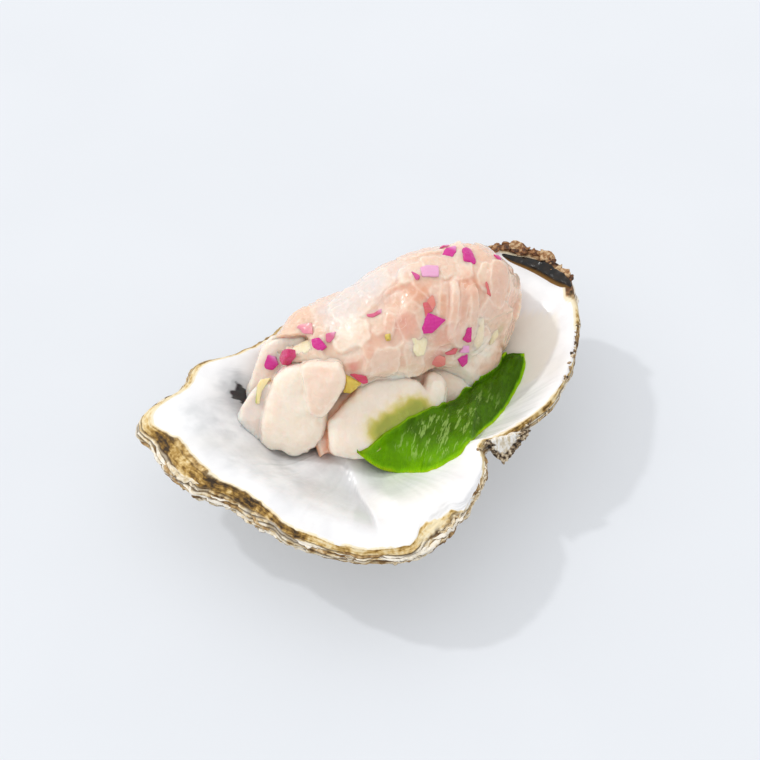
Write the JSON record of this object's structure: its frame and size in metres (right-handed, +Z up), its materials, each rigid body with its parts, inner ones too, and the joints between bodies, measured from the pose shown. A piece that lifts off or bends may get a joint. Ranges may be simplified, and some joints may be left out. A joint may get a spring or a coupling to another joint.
{
  "type": "dressed oyster on the half shell",
  "caption": "Cupped oyster half shell with a layered brown rim, holding a heap of diced raw fish with red onion, broad fish slices and a spoonful of green herb sauce.",
  "frame": {"origin": "under the middle of the shell's outline, on the surface that the shell rests on", "axes": "+X along the shell towards its hinge, +Y across it away from the sauce, +Z up"},
  "size_m": [0.1074, 0.0766, 0.0438],
  "materials": {
    "shell": "white nacre inside, rough brown and cream layers outside",
    "ligament": "dark, wet and glossy",
    "diced_fish": "wet, translucent pale pink",
    "sliced_fish": "wet, translucent cream",
    "herb_sauce": "wet, finely grained green"
  },
  "bodies": {
    "root": {"shell": "shell", "hinge_ligament": "ligament", "tartare": "diced_fish", "fish_slice_left": "sliced_fish", "fish_slice_front": "sliced_fish", "herb_sauce": "herb_sauce"}
  },
  "joints": []
}
